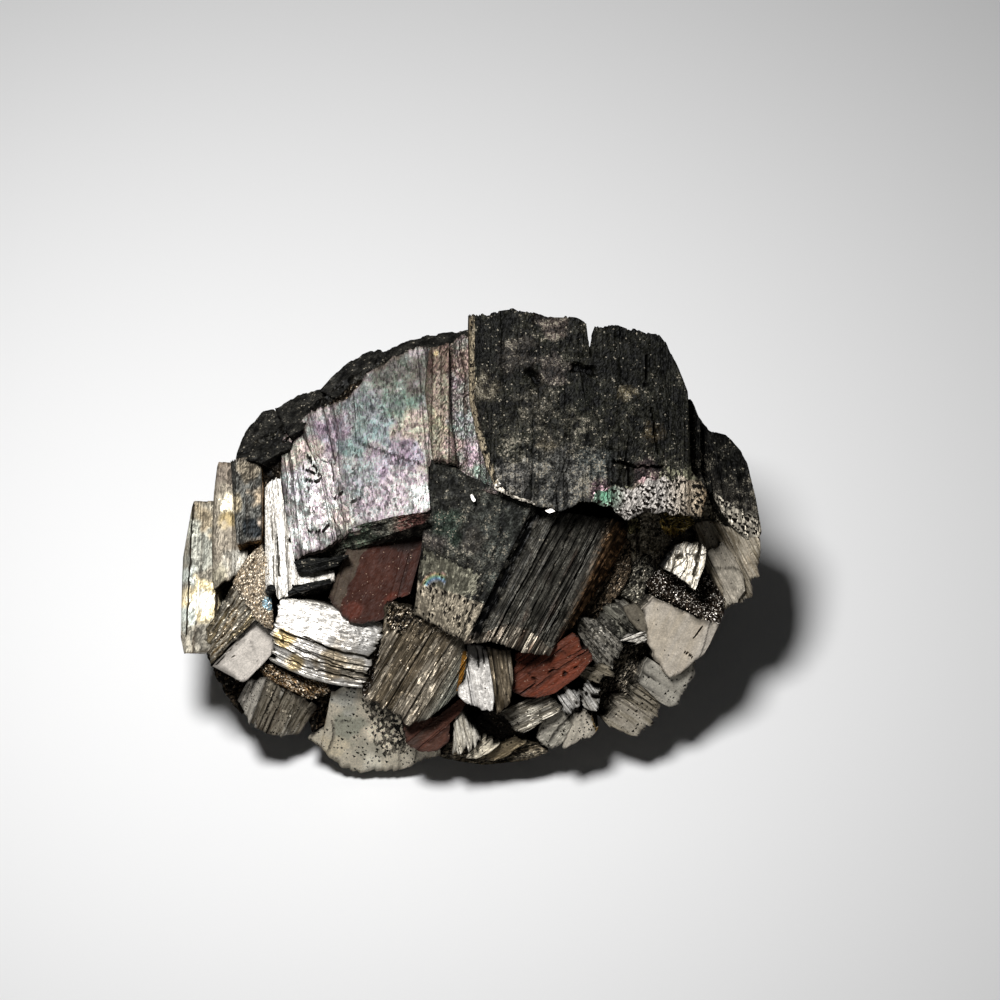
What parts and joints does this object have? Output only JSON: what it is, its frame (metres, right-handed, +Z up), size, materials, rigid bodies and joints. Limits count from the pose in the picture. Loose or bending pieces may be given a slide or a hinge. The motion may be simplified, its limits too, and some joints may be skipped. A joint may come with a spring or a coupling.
{
  "type": "arsenopyrite specimen",
  "caption": "Loose mineral specimen: blocky, striated metallic crystals grown together on a rough matrix, resting on a flat broken foot.",
  "frame": {"origin": "on the table under the middle of the specimen's outline", "axes": "+X along the specimen's length, to the right of its show face; +Y away from the side that the show face leans towards; +Z up from the broken foot"},
  "size_m": [0.0582, 0.0458, 0.0302],
  "materials": {
    "ore": "metallic, striated and pitted, partly black-coated and iridescent"
  },
  "bodies": {
    "root": {"arsenopyrite": "ore"}
  },
  "joints": []
}
